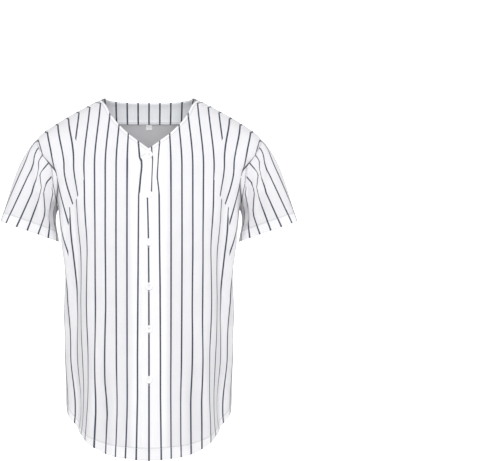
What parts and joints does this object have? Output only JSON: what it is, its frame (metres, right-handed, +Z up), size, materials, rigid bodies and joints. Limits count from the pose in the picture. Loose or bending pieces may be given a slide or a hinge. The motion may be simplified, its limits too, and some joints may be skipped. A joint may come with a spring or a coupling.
{
  "type": "baseball jersey",
  "caption": "Short-sleeved button-front baseball jersey with a V neck, pinstripes and a shirt-tail hem, filled out as if worn.",
  "frame": {"origin": "middle of the neck, level with the high shoulder points, above the ridge of the shoulders, where the wearer's shoulders carry the jersey", "axes": "+Z up, -Y the way the wearer faces, +X to the wearer's left"},
  "size_m": [0.63, 0.2949, 0.7504],
  "materials": {
    "white_cloth": "matt double-knit polyester, white with thin dark slate-blue pinstripes",
    "facing_cloth": "the same striped cloth as the outside, matt",
    "label_white": "smooth woven satin, white and bare",
    "button_white": "glossy white shirt button"
  },
  "bodies": {
    "root": {"front_left": "white_cloth", "front_right": "white_cloth", "back": "white_cloth", "sleeve_left": "white_cloth", "sleeve_right": "white_cloth", "back_neck_facing": "facing_cloth", "size_label": "label_white", "button_1": "button_white", "button_2": "button_white", "button_3": "button_white", "button_4": "button_white", "button_5": "button_white", "button_6": "button_white"}
  },
  "joints": []
}
